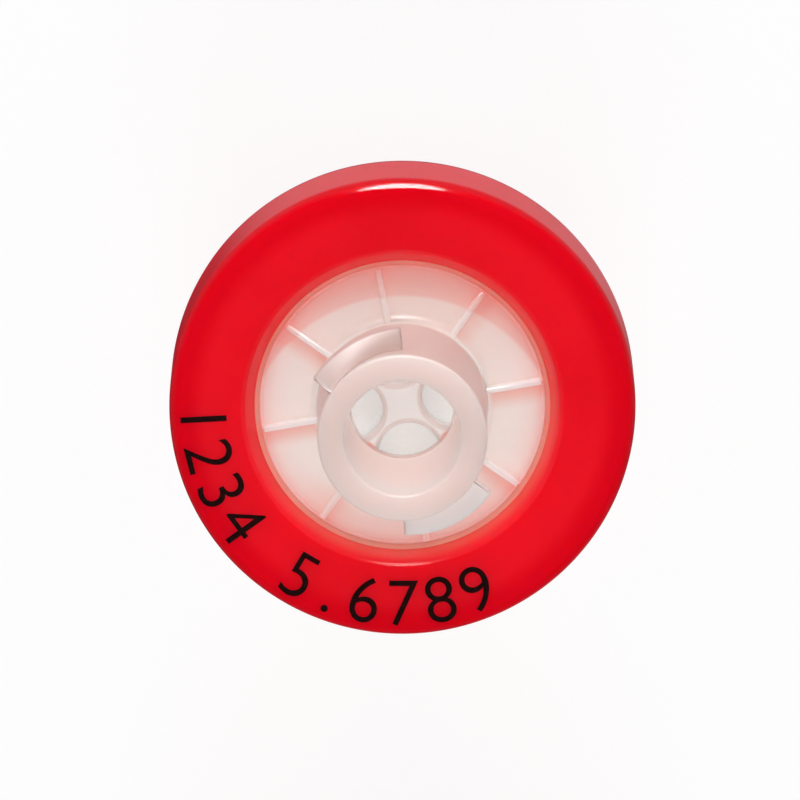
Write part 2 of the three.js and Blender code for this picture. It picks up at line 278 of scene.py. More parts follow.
class Field:
    """A socket in a node tree. Arithmetic on a Field of numbers adds Math nodes."""

    def __init__(self, shading, socket):
        self.shading = shading
        self.socket = socket

    def __add__(self, other):
        return self.shading.math("ADD", self, other)

    def __radd__(self, other):
        return self.shading.math("ADD", other, self)

    def __sub__(self, other):
        return self.shading.math("SUBTRACT", self, other)

    def __rsub__(self, other):
        return self.shading.math("SUBTRACT", other, self)

    def __mul__(self, other):
        return self.shading.math("MULTIPLY", self, other)

    def __rmul__(self, other):
        return self.shading.math("MULTIPLY", other, self)

    def __truediv__(self, other):
        return self.shading.math("DIVIDE", self, other)

    def __rtruediv__(self, other):
        return self.shading.math("DIVIDE", other, self)

    def __neg__(self):
        return self.shading.math("MULTIPLY", self, -1)

    def __abs__(self):
        return self.shading.math("ABSOLUTE", self)


class Shading:
    """A node tree, with the few kinds of node that the materials and the sky are made of."""

    def __init__(self, tree):
        self.tree = tree

    def node(self, kind, settings=None, inputs=None, output=0):
        node = self.tree.nodes.new(kind)
        for key, value in (settings or {}).items():
            setattr(node, key, value)
        for key, value in (inputs or {}).items():
            self.feed(node.inputs[key], value)
        return Field(self, node.outputs[output])

    def feed(self, socket, value):
        if isinstance(value, Field):
            self.tree.links.new(value.socket, socket)
        else:
            socket.default_value = value

    def math(self, operation, *values):
        return self.node("ShaderNodeMath", {"operation": operation}, dict(enumerate(values)))

    def ray(self, kind):
        return self.node("ShaderNodeLightPath", output=f"Is {kind} Ray")

    def place(self, stretch=(1, 1, 1), shift=(0, 0, 0)):
        """Where a point of the piece lies, in metres, with each axis stretched and then shifted."""
        where = self.node("ShaderNodeTexCoord", output="Object")
        return self.node(
            "ShaderNodeVectorMath", {"operation": "MULTIPLY_ADD"}, {0: where, 1: stretch, 2: shift})

    def axis(self, where, name):
        return self.node("ShaderNodeSeparateXYZ", inputs={0: where}, output="XYZ".index(name))

    def from_axis(self, shift=(0, 0, 0)):
        """Distance of a point from the flow axis, or from a shifted one, in metres."""
        return self.node(
            "ShaderNodeVectorMath", {"operation": "LENGTH"}, {0: self.place((1, 1, 0), shift)}, output=1)

    def noise(self, where, scale, detail=3.0, roughness=0.5):
        return self.node("ShaderNodeTexNoise", inputs={
            "Vector": where, "Scale": scale, "Detail": detail, "Roughness": roughness})

    def spread(self, value, low, high, to_low=0.0, to_high=1.0):
        """A value brought smoothly from one range to another and held at its ends."""
        return self.node("ShaderNodeMapRange", {"interpolation_type": "SMOOTHSTEP"}, {
            "Value": value, "From Min": low, "From Max": high, "To Min": to_low, "To Max": to_high})

    def zone(self, value, start, limits):
        """Fades from 0 to 1 between two limits, in millimetres past a start in metres."""
        none, full = limits
        return self.spread(value, start + none * MM, start + full * MM)

    def between(self, share, none, full):
        """A number that goes evenly from one value to another as a share goes from 0 to 1."""
        return none + share * (full - none)

    def blend(self, factor, first, second):
        """A mix of two colours, each a Field or three numbers."""
        first, second = (c if isinstance(c, Field) else (*c, 1) for c in (first, second))
        return self.node("ShaderNodeMix", {"data_type": "RGBA"}, {0: factor, 6: first, 7: second}, 2)

    def mixed(self, factor, first, second):
        """A mix of two shaders."""
        return self.node("ShaderNodeMixShader", inputs={0: factor, 1: first, 2: second})

    def glow(self, strength):
        return self.node("ShaderNodeEmission", inputs={"Color": (1, 1, 1, 1), "Strength": strength})


class Surface(Shading):
    """A material built round its Principled shader. Constants go straight on the shader's sockets."""

    def __init__(self, name, constants):
        self.material = bpy.data.materials.new(name)
        self.material.use_nodes = True
        super().__init__(self.material.node_tree)
        self.shader = self.tree.nodes["Principled BSDF"]
        self.plain = Field(self, self.shader.outputs[0])
        for socket, value in constants.items():
            self.shader.inputs[socket].default_value = value

    def set(self, socket, value):
        self.feed(self.shader.inputs[socket], value)

    def show(self, shown):
        self.feed(self.tree.nodes["Material Output"].inputs["Surface"], shown)

    def bump(self, height, distance, strength):
        self.set("Normal", self.node("ShaderNodeBump", inputs={
            "Height": height, "Distance": distance, "Strength": strength}))

    def light_through(self, tint):
        """Lets some light through to what lies behind, in a tint, as a thin translucent wall does."""
        clear = self.node("ShaderNodeBsdfTransparent", inputs={"Color": (*tint, 1)})
        self.show(self.mixed(self.ray("Shadow"), self.plain, clear))


# Zones of colour: where each starts to show and where it is full, in millimetres past the radius, level or
# distance that it is used with
# Where the ring lip's painted shadow starts and is full, past a circle shifted towards -Y
LIP_SHADOW_EDGE = (5.85, 6.03)
# Along the bond the ring's red with painted red reflected light; the next zone, towards -Y, is painted
# reflected light alone
BOND_RED_AND_BOUNCE = (4.8, 5.3)
FRONT_PAINTED_BOUNCE = (3.7, 4.7)
# Painted shadow on the -Y side of each rib
RIB_SHADE = (0.15, 0.95)
HUB_SKIRT = (0, 0.2)
HUB_FOOT = (0.3, 0.7)
RIB_FLANK = (0.03, 0.16)
MOUTH_FACE = (-0.2, -0.02)
HUB_SKIN = (-0.3, -0.02)
LUG_ROOT = (0.05, 0.2)
LUG_TIP = (0.3, 0.65)
BORE_MOUTH = (0, 0.1)
BORE_SKIN = (-0.12, 0)
BAFFLE_FACE = (0, 0.06)
# Painted shade round the ports' edges
PORT_RIM_INNER = (-0.08, 0)
PORT_RIM_OUTER = (0.12, 0.24)
PORT_RIM_TOP = (0.02, 0.1)
# Painted shade in the bore's corner
CORNER_SKIN = (-0.43, -0.35)
CORNER_FOOT = (0.03, 0.12)
CORNER_TOP = (0.35, 0.6)
# Painted shade near the outer edge of the ring's faces
RING_FACE_EDGE = (-1.4, -0.6)
RING_SIDE = (-0.25, -0.02)
# Painted shade towards the foot of the side wall
RING_UNDER = (0, 0.25)
LIP_SLOPE = (0.25, 0.55)
LIP_FOOT = (0, 0.05)
FLOOR_CLOSE = (14, 30)
FLOOR_BEHIND = (1, 8.5)

# The same for shares of the radius, which place painted light and shade: towards -Y, towards +Y, to either
# side, and towards both +X and -Y
FRONT = (0.45, 0.85)
BACK = (-0.6, 0.7)
SIDES = (0.3, 0.9)
LIP_LIT = (-0.9, 0.5)

# The same for noise
MARKS = (0.3, 0.7)
RING_MARKS = (0.35, 0.7)
INK_MARKS = (0.3, 0.75)

# How strongly a zone shows where it is full, how strongly at least, and how much the fine skin adds to grain.
# The first four set the ring's red, painted shadow and painted red reflected light on the plate; the lug tip,
# rib and lip shares set painted light
LIP_SHADOW_SHARE = 0.6
BOND_RED_AND_BOUNCE_SHARE = 0.12
FRONT_PAINTED_BOUNCE_SHARE = 0.5
RIB_SHADE_SHARE = 0.95
LUG_TIP_SHARE = 0.45
RIB_LEAST_SHARE = 0.2
LIP_LEAST_SHARE = 0.15
SKIN_SHARE = 0.15

# How far towards -Y lies the centre of the circle outside which the plate carries the ring lip's painted
# shadow
LIP_SHADOW_SHIFT = 1.8 * MM

# How much the bright patch of floor leans towards +X, and the strength of the floor's plain white
PATCH_LEAN = 0.35
FLOOR_WHITE = 1.05


class Spot:
    """Where a point of a surface lies, in metres, and how far back or aside as shares of its radius."""

    def __init__(self, surface):
        where = surface.place()
        self.radius = surface.from_axis()
        self.east = surface.axis(where, "X")
        self.north = surface.axis(where, "Y")
        self.height = surface.axis(where, "Z")
        self.backward = self.north / self.radius
        self.sideways = abs(self.east) / self.radius


def red_and_painted_shade_share(surface, spot, body, ribs):
    """How much of the ring's red a plate shows: the ring lip's painted shadow, the ring's red along the bond
    with painted red reflected light that is strongest towards -Y, and painted shadow on the -Y side of the
    ribs.
    """
    # The ring lip's painted shadow, cast towards -Y over the +Y side of the window
    in_lip_shadow = surface.zone(surface.from_axis((0, LIP_SHADOW_SHIFT, 0)), 0, LIP_SHADOW_EDGE)
    # The ring's red along the bond with painted red reflected light, and more painted reflected light towards
    # -Y
    bond_red_and_bounce = surface.zone(spot.radius, 0, BOND_RED_AND_BOUNCE)
    front_painted_bounce = surface.zone(spot.radius, 0, FRONT_PAINTED_BOUNCE) * surface.spread(-spot.backward, *FRONT)

    pitch = FULL_TURN / body.rib_count
    turns = surface.math("ARCTAN2", spot.north, spot.east) - body.rib_start
    phase = surface.math("FRACT", turns / pitch)
    right = surface.math("GREATER_THAN", spot.east, 0)
    below_rib = spot.radius * surface.math("SINE", (phase + right * (1 - 2 * phase)) * pitch)
    outside_hub = surface.zone(spot.radius, body.hub_base, HUB_SKIRT)
    # Painted shadow on the -Y side of the ribs, strongest on ribs that run across the light
    shade = (1 - surface.zone(below_rib, 0, RIB_SHADE)) * surface.spread(spot.sideways, *SIDES) * outside_hub

    beside_ribs = bond_red_and_bounce * BOND_RED_AND_BOUNCE_SHARE + front_painted_bounce * FRONT_PAINTED_BOUNCE_SHARE + shade * RIB_SHADE_SHARE
    return in_lip_shadow * LIP_SHADOW_SHARE + (1 - ribs) * beside_ribs


def hub_colours(surface, spot, finish, body, over_plate, rest):
    """The colours of the hub's mouth, bore, outer wall and lugs, laid over the colour of the rest. The mouth
    face is painted pink for red light carried up through the hub; the wall, the lugs and the bore's wall
    carry painted light on one side and painted shade on the other, and the lower lug's tip a painted bright
    rim.
    """
    mouth_face = surface.zone(spot.height, mouth_z, MOUTH_FACE)
    bored = 1 - surface.zone(spot.radius, body.mouth, BORE_MOUTH)
    outside = surface.zone(spot.radius, body.hub, HUB_SKIN)
    on_lug = surface.zone(spot.radius, body.hub, LUG_ROOT)
    # Painted bright rim on the lugs' tips, shown on the -Y lug
    lug_tip = surface.zone(spot.radius, body.hub, LUG_TIP) * LUG_TIP_SHARE
    # Share towards +Y, which sets painted light and shade by side
    back = surface.spread(spot.backward, *BACK)

    # Bore's wall: painted shade towards -Y, painted light towards +Y
    bore = surface.blend(back, finish.bore_painted_shade, finish.bore_painted_light)
    bored_hub = surface.blend(over_plate * bored, rest, bore)
    # Painted red light: the mouth face painted pink
    hub = surface.blend(over_plate * mouth_face, bored_hub, finish.hub)
    # Hub's wall and lugs: painted light towards -Y, painted shade towards +Y
    wall = surface.blend(back, finish.hub_painted_light, finish.hub_painted_shade)
    lug = surface.blend(back, surface.blend(lug_tip, finish.hub_painted_light, finish.rib), finish.lug_painted_shade)
    walled = outside * over_plate * (1 - mouth_face * (1 - on_lug))
    return surface.blend(walled, hub, surface.blend(on_lug, wall, lug))


def from_port(surface, body):
    """Distance of a point from the centre line of the nearest of the four ports."""
    turned_place = surface.node("ShaderNodeVectorRotate", {"rotation_type": "Z_AXIS"}, {
        "Vector": surface.place(), "Angle": -body.port_start})
    folded = surface.node("ShaderNodeVectorMath", {"operation": "ABSOLUTE"}, {0: turned_place})
    first, second = surface.axis(folded, "X"), surface.axis(folded, "Y")
    along = surface.math("MAXIMUM", first, second) - body.port_offset
    beside = surface.math("MINIMUM", first, second)
    return surface.math("SQRT", along * along + beside * beside)


def bore_floor_colours(surface, spot, finish, body, rest):
    """The colours of the baffle, its ports' edges and the bore's corner, laid over the colour of the rest.
    The ports' edges and the bore's corner are painted shade.
    """
    floor_z = ring_top_z - body.lip - body.bore_sink
    above_membrane = surface.math("GREATER_THAN", spot.height, membrane_top_z)
    inside = (1 - surface.zone(spot.radius, body.mouth, BORE_SKIN)) * above_membrane
    baffle = inside * (1 - surface.zone(spot.height, floor_z, BAFFLE_FACE))
    port = from_port(surface, body)
    # Painted shade round each port's edge
    rim = surface.zone(port, body.port, PORT_RIM_INNER) * (1 - surface.zone(port, body.port, PORT_RIM_OUTER))
    on_floor = inside * (1 - surface.zone(spot.height, floor_z, PORT_RIM_TOP))
    # Painted shade in the bore's corner
    at_corner = surface.zone(spot.height, floor_z, CORNER_FOOT) * (
        1 - surface.zone(spot.height, floor_z, CORNER_TOP))
    corner = surface.zone(spot.radius, body.mouth, CORNER_SKIN) * inside * at_corner

    baffled = surface.blend(baffle, rest, finish.baffle)
    edged = surface.blend(rim * on_floor, baffled, finish.port_edge_painted_shade)
    return surface.blend(corner, edged, finish.bore_corner_painted_shade)


def polypropylene(name, finish, body):
    """Natural translucent polypropylene: milky, faintly warm, with flow marks and a satin skin.

    The plate carries the ring lip's painted shadow at the +Y side of the window and painted shadow on the -Y
    side of the ribs, and along the bonded edge the ring's red with painted red reflected light, strongest
    towards -Y.
    The ribs are whiter where the plastic thickens, more so where they run across the light as a painted
    highlight, and what lies over the membrane is whiter too. The hub's mouth is painted pink for red light
    carried up through the hub; its wall and lugs are painted darker towards +Y and lighter towards -Y, the
    bore's wall the other way round, and the edges of the ports and the bore's corner carry painted shade.
    """
    surface = Surface(name, {
        "Roughness": 0.3,
        "IOR": 1.49,
        "Specular IOR Level": 0.25,
        "Coat Roughness": 0.15,
        "Subsurface Weight": 1.0,
        "Subsurface Radius": (0.9, 0.95, 1.0),
        "Subsurface Scale": finish.milkiness,
    })
    spot = Spot(surface)
    plate_z = ring_top_z - body.lip
    marks = surface.spread(surface.noise(surface.place(), scale=420), *MARKS)
    over_plate = surface.zone(spot.height, plate_z, HUB_FOOT)
    ribbed = surface.zone(spot.height, plate_z, RIB_FLANK) * (1 - over_plate)
    # Share to either side, which sets the ribs' painted highlight
    side_rib = surface.spread(spot.sideways, *SIDES)

    flow = surface.blend(marks, finish.polypropylene, finish.flow_mark)
    # Ribs whiter where the plastic thickens, with a painted highlight on those that run across the light
    ribs = surface.blend(ribbed * surface.between(side_rib, RIB_LEAST_SHARE, 1), flow, finish.rib)
    hub = hub_colours(surface, spot, finish, body, over_plate, ribs)
    # Painted shadow and painted red reflected light on the plate, with the ring's red along the bond
    glow = (1 - over_plate) * red_and_painted_shade_share(surface, spot, body, ribbed * side_rib)
    plate = surface.blend(glow, hub, finish.ring_red_and_painted_shade)
    body_colour = bore_floor_colours(surface, spot, finish, body, plate)
    surface.set("Base Color", body_colour)
    surface.set("Coat Weight", ribbed * side_rib)
    surface.bump(surface.noise(surface.place(), scale=1500), distance=0.004 * MM, strength=0.3)
    surface.light_through(finish.polypropylene_light)
    return surface.material


def membrane_finish(finish):
    """Matt white membrane with a fine felt of fibres."""
    surface = Surface("Membrane", {"Specular IOR Level": 0.2})
    felt = surface.noise(surface.place(), scale=14000, detail=6, roughness=0.7)
    fibres = surface.spread(felt, *MARKS)
    surface.set("Base Color", surface.blend(fibres, finish.membrane_felt, finish.membrane))
    surface.set("Roughness", surface.between(fibres, 0.75, 0.95))
    surface.bump(felt, distance=0.01 * MM, strength=1)
    surface.light_through(finish.membrane_light)
    return surface.material


def ring_finish(finish, ring):
    """Coloured polypropylene: glossy faces, a finely grained, matt side wall and a lip that thins out.

    The lip's slope is paler where it thins, and palest towards +X and -Y: painted light. The face is painted
    darker near its outer edge and the side wall towards its foot, both painted shade, and the side wall's
    darker red is painted shade on its real matt grain.
    """
    surface = Surface("Red ring", {
        "IOR": 1.47,
        "Specular IOR Level": 0.35,
        "Subsurface Weight": 1.0,
        "Subsurface Radius": (1.0, 0.07, 0.06),
        "Subsurface Scale": 1.5 * MM,
    })
    spot = Spot(surface)
    marks = surface.spread(surface.noise(surface.place((1, 1, 0.4)), scale=240), *RING_MARKS)
    # Painted shade near the outer edge of the faces
    face_edge_painted_shade = surface.zone(spot.radius, ring_radius, RING_FACE_EDGE)
    side = surface.zone(spot.radius, ring_radius, RING_SIDE)
    # Painted shade towards the foot of the side wall
    under = 1 - surface.zone(spot.height, ring_bottom_z + ring.outer_round, RING_UNDER)
    # Painted light on the lip's slope, strongest towards +X and -Y
    lit = surface.spread((spot.east - spot.north) / spot.radius, *LIP_LIT, LIP_LEAST_SHARE, 1)
    slope = (1 - surface.zone(spot.radius, ring.window, LIP_SLOPE)) * lit
    foot = 1 - surface.zone(spot.radius, ring.window + ring.lip_foot, LIP_FOOT)

    flow = surface.blend(marks, finish.ring, finish.ring_flow)
    face = surface.blend(face_edge_painted_shade, flow, finish.ring_edge_painted_shade)
    # Side wall: darker red as painted shade, darkest towards its foot
    wall = surface.blend(side, face, surface.blend(under, finish.ring_side, finish.ring_under_painted_shade))
    sloped = surface.blend(slope, wall, finish.lip_slope)
    surface.set("Base Color", surface.blend(foot, sloped, finish.lip_foot))
    surface.set("Roughness", surface.between(side, 0.08, 0.4))
    grain = surface.noise(surface.place((1, 1, 0.5)), scale=11000)
    skin = surface.noise(surface.place(), scale=3000)
    surface.bump(grain * side + skin * SKIN_SHARE, distance=0.012 * MM, strength=0.6)
    surface.light_through(finish.ring_light)
    return surface.material


def ink_finish(finish):
    """Black printing ink, slightly uneven."""
    surface = Surface("Ink", {"Specular IOR Level": 0.1})
    patch = surface.noise(surface.place(), scale=5000)
    thin = surface.spread(patch, *INK_MARKS)
    surface.set("Base Color", surface.blend(thin, finish.ink, finish.thin_ink))
    surface.set("Roughness", surface.between(thin, 0.35, 0.5))
    surface.bump(patch, distance=0.003 * MM, strength=0.5)
    return surface.material


# ---------------------------------------------------------------- shaping


def turned(corners, steps, on_axis=False):
    """A profile of (radius, z) corners spun round Z; it starts and ends on the axis, or closes on itself."""
    shape = bmesh.new()
    points = [shape.verts.new((radius, 0, z)) for radius, z in corners]
    ends = points[1:] if on_axis else points[1:] + points[:1]
    outline = [shape.edges.new(pair) for pair in zip(points, ends)]
    bmesh.ops.spin(
        shape, geom=points + outline, cent=(0, 0, 0), axis=(0, 0, 1), dvec=(0, 0, 0),
        angle=FULL_TURN, steps=steps, use_merge=True)
    bmesh.ops.remove_doubles(shape, verts=shape.verts, dist=WELD)
    bmesh.ops.recalc_face_normals(shape, faces=shape.faces)
    return shape


def bevel(shape, edges, width, segments):
    bmesh.ops.bevel(
        shape, geom=edges, offset=width, offset_type="OFFSET", segments=segments,
        profile=0.5, affect="EDGES", material=-1)


def round_rings(shape, corners, width, segments):
    """Rounds the ring-shaped edges of a turned shape that run through these (radius, z) corners."""

    def on(vertex, corner):
        radius, z = corner
        return abs(vertex.co.xy.length - radius) < WELD and abs(vertex.co.z - z) < WELD

    edges = [edge for edge in shape.edges if any(all(on(v, c) for v in edge.verts) for c in corners)]
    bevel(shape, edges, width, segments)


def bar(inner, outer, height, base_width, top_width, edge=0.0):
    """A rib of trapezoid section along +X that stands on z = 0."""
    shape = bmesh.new()
    bmesh.ops.create_cube(shape, size=1)
    bmesh.ops.translate(shape, verts=shape.verts, vec=(0.5, 0, 0.5))
    bmesh.ops.scale(shape, verts=shape.verts, vec=(outer - inner, base_width, height))
    bmesh.ops.translate(shape, verts=shape.verts, vec=(inner, 0, 0))
    top = [vertex for vertex in shape.verts if vertex.co.z > height / 2]
    bmesh.ops.scale(shape, verts=top, vec=(1, top_width / base_width, 1))
    if edge:
        bevel(shape, [e for e in shape.edges if all(v in top for v in e.verts)], edge, segments=2)
    return shape


def ring_of(shape, copies, start):
    """Spreads copies of a shape evenly round Z, the first turned to the start angle."""
    everything = shape.verts[:] + shape.edges[:] + shape.faces[:]
    bmesh.ops.rotate(shape, verts=shape.verts, cent=(0, 0, 0), matrix=Matrix.Rotation(start, 3, "Z"))
    bmesh.ops.spin(
        shape, geom=everything, cent=(0, 0, 0), axis=(0, 0, 1), dvec=(0, 0, 0),
        angle=FULL_TURN * (copies - 1) / copies, steps=copies - 1, use_duplicate=True)
    return shape


def as_object(name, shape):
    mesh = bpy.data.meshes.new(name)
    shape.to_mesh(mesh)
    shape.free()
    piece = bpy.data.objects.new(name, mesh)
    bpy.context.scene.collection.objects.link(piece)
    return piece


def combined(piece, shapes, operation):
    """Joins shapes to a piece with UNION, or cuts them out of it with DIFFERENCE."""
    tools = [as_object(f"{piece.name}_tool", shape) for shape in shapes]
    for tool in tools:
        step = piece.modifiers.new(tool.name, "BOOLEAN")
        step.operation = operation
        step.solver = "MANIFOLD"
        step.object = tool
    finished = piece.evaluated_get(bpy.context.evaluated_depsgraph_get())
    mesh = bpy.data.meshes.new_from_object(finished)
    piece.modifiers.clear()
    piece.data = mesh
    for tool in tools:
        bpy.data.objects.remove(tool)
    return piece


def dress(piece, material, node=None):
    """Gives a piece its finish, shading and place in the frame, and hides the node that it stands for."""
    piece.data.materials.clear()
    piece.data.materials.append(material)
    piece.data.shade_smooth()
    piece.data.set_sharp_from_angle(angle=CREASE)
    shading = piece.modifiers.new("Even shading", "WEIGHTED_NORMAL")
    shading.keep_sharp = True
    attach(piece, "root")
    if node:
        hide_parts(node)


# ---------------------------------------------------------------- the halves


def face_ribs(body, root):
    """The ribs of one outer face, standing on z = 0 and rooted in the hub or collar."""
    sink = body.clearance
    rib = bar(
        root - sink, body.rib_end, body.rib_height + sink, body.rib_width, body.rib_top_width, body.rib_edge)
    bmesh.ops.translate(rib, verts=rib.verts, vec=(0, 0, -sink))
    return ring_of(rib, body.rib_count, body.rib_start)


def lugs(body):
    """Two locking lugs on a right-hand helix, their anticlockwise ends flush with the mouth."""
    root, tip = body.hub - body.lug_sink, body.hub + body.lug_reach
    rise = body.thread_lead * body.lug_arc / FULL_TURN
    middle = mouth_z - body.lug_root_height / 2 - rise
    shape = bmesh.new()
    corners = [
        (root, middle - body.lug_root_height / 2), (tip, middle - body.lug_tip_height / 2),
        (tip, middle + body.lug_tip_height / 2), (root, middle + body.lug_root_height / 2)]
    section = shape.faces.new([shape.verts.new((radius, 0, z)) for radius, z in corners])
    bmesh.ops.spin(
        shape, geom=[section], cent=(0, 0, 0), axis=(0, 0, 1), dvec=(0, 0, rise / LUG_STEPS),
        angle=body.lug_arc, steps=LUG_STEPS, use_merge=False)
    bmesh.ops.recalc_face_normals(shape, faces=shape.faces)
    for end, turn in ((0.0, body.lug_end_draft), (body.lug_arc, -body.lug_end_draft)):
        at_end = [v for v in shape.verts if abs(math.atan2(v.co.y, v.co.x) - end) < SAME_ANGLE]
        far = [v for v in at_end if v.co.xy.length > body.hub]
        bmesh.ops.rotate(shape, verts=far, cent=(0, 0, 0), matrix=Matrix.Rotation(turn, 3, "Z"))
    sharp = [edge for edge in shape.edges if edge.calc_face_angle(0) > SHARP]
    bevel(shape, sharp, body.lug_edge, segments=2)
    return ring_of(shape, 2, body.lug_start)


def ridge(body, face, outwards):
    """The fine ridge that the ring's lip shuts against, as corners from the outside in."""
    top = face + outwards * body.ridge_height
    inner = body.ridge - body.ridge_width
    return [
        (body.ridge, face), (body.ridge - body.ridge_draft, top), (inner + 2 * body.ridge_draft, top),
        (inner, face)]


def build_inlet(body):
    plate_z = ring_top_z - body.lip
    chamber_z = membrane_top_z + body.chamber
    chamber = membrane_radius - body.seal
    spigot = membrane_radius + body.clearance
    floor_z = plate_z - body.bore_sink
    floor = body.mouth + floor_z * body.luer_taper / 2
    profile = [
        (0, chamber_z), (chamber, chamber_z), (chamber, membrane_top_z), (spigot, membrane_top_z),
        (spigot, joint_z), (rim_radius, joint_z), (rim_radius, plate_z), *ridge(body, plate_z, 1),
        (body.hub_base, plate_z), (body.hub, mouth_z), (body.mouth, mouth_z), (floor, floor_z), (0, floor_z)]
    shape = turned(profile, BODY_STEPS, on_axis=True)
    round_rings(shape, [(body.hub_base, plate_z)], body.hub_fillet, segments=5)
    round_rings(shape, [(body.hub, mouth_z), (body.mouth, mouth_z)], body.edge, segments=4)
    round_rings(shape, [(floor, floor_z)], body.bore_fillet, segments=4)
    piece = as_object("inlet_moulding", shape)

    ribs = face_ribs(body, body.hub_base)
    bmesh.ops.translate(ribs, verts=ribs.verts, vec=(0, 0, plate_z))
    spacer = bar(body.hub_base, chamber + body.clearance, body.chamber, body.spacer_width, body.spacer_width)
    bmesh.ops.translate(spacer, verts=spacer.verts, vec=(0, 0, membrane_top_z + body.clearance))
    spacers = ring_of(spacer, body.rib_count, body.rib_start)
    combined(piece, [ribs, spacers, lugs(body)], "UNION")

    edge = body.edge
    port = turned([
        (0, chamber_z - edge), (body.port, chamber_z - edge), (body.port, floor_z - edge),
        (body.port + 2 * edge, floor_z + edge), (0, floor_z + edge)], PORT_STEPS, on_axis=True)
    bmesh.ops.translate(port, verts=port.verts, vec=(body.port_offset, 0, 0))
    combined(piece, [ring_of(port, body.port_count, body.port_start)], "DIFFERENCE")
    return piece


def build_outlet(body):
    face_z = ring_bottom_z + body.lip
    drain_z = seat_z - body.drain
    collar_z = face_z - body.collar_height
    pocket = membrane_radius + 2 * body.clearance
    chamber = membrane_radius - body.seal
    cone = body.nozzle_tip + (collar_z - tip_z) * body.luer_taper / 2
    collar = cone + body.collar_step
    profile = [
        (body.lumen, tip_z), (body.nozzle_tip, tip_z), (cone, collar_z), (collar, collar_z),
        (collar, face_z), *reversed(ridge(body, face_z, -1)), (rim_radius, face_z), (rim_radius, joint_z),
        (pocket, joint_z), (pocket, seat_z),
        (body.funnel, seat_z), (body.funnel, drain_z), (body.lumen, drain_z - body.funnel_depth)]
    shape = turned(profile, BODY_STEPS)
    round_rings(shape, [(body.nozzle_tip, tip_z)], body.nozzle_edge, segments=4)
    round_rings(shape, [(collar, collar_z)], body.collar_edge, segments=4)
    round_rings(shape, [(cone, collar_z), (collar, face_z)], body.collar_fillet, segments=4)
    round_rings(shape, [(body.lumen, tip_z)], body.lumen_edge, segments=3)
    piece = as_object("outlet_moulding", shape)

    ribs = face_ribs(body, collar)
    bmesh.ops.rotate(ribs, verts=ribs.verts, cent=(0, 0, 0), matrix=Matrix.Rotation(math.pi, 3, "X"))
    bmesh.ops.translate(ribs, verts=ribs.verts, vec=(0, 0, face_z))
    combined(piece, [ribs], "UNION")

    pitch = (chamber - body.funnel) / body.drain_grooves
    top_z = seat_z + body.clearance
    grooves = []
    for index in range(body.drain_grooves):
        inner, outer = body.funnel + index * pitch + body.drain_land, body.funnel + (index + 1) * pitch
        section = [(inner, drain_z), (outer, drain_z), (outer, top_z), (inner, top_z)]
        grooves.append(turned(section, GROOVE_STEPS))
    end = chamber - (pitch - body.drain_land) / 2
    channel = bar(body.lumen, end, body.drain + body.clearance, body.drain_channel, body.drain_channel)
    bmesh.ops.translate(channel, verts=channel.verts, vec=(0, 0, drain_z))
    channels = ring_of(channel, body.rib_count, body.rib_start)
    combined(piece, [*grooves, channels], "DIFFERENCE")
    return piece


# ---------------------------------------------------------------- the ring


def build_ring(body, ring):
    cavity = ring_radius - ring.wall
    lip = ring.window + ring.lip_draft
    plate_z, face_z = ring_top_z - body.lip, ring_bottom_z + body.lip
    foot = ring.window + ring.lip_foot
    step = foot + ring.lip_step
    upper_z, lower_z = plate_z + ring.lip_foot_height, face_z - ring.lip_foot_height
    profile = [
        (ring.window, face_z), (foot, lower_z), (step, lower_z), (lip, ring_bottom_z),
        (ring_radius, ring_bottom_z), (ring_radius, ring_top_z),
        (lip, ring_top_z), (step, upper_z), (foot, upper_z), (ring.window, plate_z),
        (cavity, plate_z), (cavity, face_z)]
    shape = turned(profile, RING_STEPS)
    outer = [(ring_radius, ring_bottom_z), (ring_radius, ring_top_z)]
    round_rings(shape, outer, ring.outer_round, segments=10)
    round_rings(shape, [(lip, ring_bottom_z), (lip, ring_top_z)], ring.lip_round, segments=8)
    return as_object("red_ring", shape)


def digit(character, ring, direction):
    """One printed digit on the ring's top face, upright towards the axis at an angle round it."""
    letter = bpy.data.curves.new("digit", "FONT")
    letter.body = character
    letter.align_x = "CENTER"
    letter.size = ring.digit_height / DIGIT_SHARE
    letter.extrude = ring.film
    letter.offset = -ring.stroke_trim
    letter.resolution_u = 8
    carrier = bpy.data.objects.new("digit", letter)
    mesh = bpy.data.meshes.new_from_object(carrier)
    bpy.data.objects.remove(carrier)
    turn = Matrix.Rotation(direction + math.pi / 2, 4, "Z")
    mesh.transform(turn @ Matrix.Translation((0, -ring.digit_radius - ring.digit_height / 2, ring_top_z)))
    return mesh


def build_print(ring):
    """The digits, in two groups along the ring's lower left."""
    shape = bmesh.new()
    for character, degrees in zip(ring.digits, DIGIT_PLACES):
        shape.from_mesh(digit(character, ring, math.radians(degrees)))
    bmesh.ops.remove_doubles(shape, verts=shape.verts, dist=WELD)
    return as_object("ring_digits", shape)


# ---------------------------------------------------------------- stage


def floor_finish(finish, studio):
    """A plain pale floor.

    The camera sees it near white, with the shadow kept. A glossy face sees it dark, except for a bright
    patch close behind the ring.
    """
    surface = Surface("Floor", {
        "Base Color": (*finish.floor, 1), "Roughness": 0.9, "Specular IOR Level": 0.1})
    where = surface.place()
    behind = surface.axis(where, "Y") + surface.axis(where, "X") * PATCH_LEAN
    close = 1 - surface.zone(surface.from_axis(), 0, FLOOR_CLOSE)
    patch = close * surface.zone(behind, 0, FLOOR_BEHIND) * studio.surround
    white = surface.glow(FLOOR_WHITE)
    dim = surface.glow(studio.front + patch)
    seen = surface.mixed(surface.ray("Camera") * studio.floor_glow, surface.plain, white)
    surface.show(surface.mixed(surface.ray("Glossy"), seen, dim))
    return surface.material


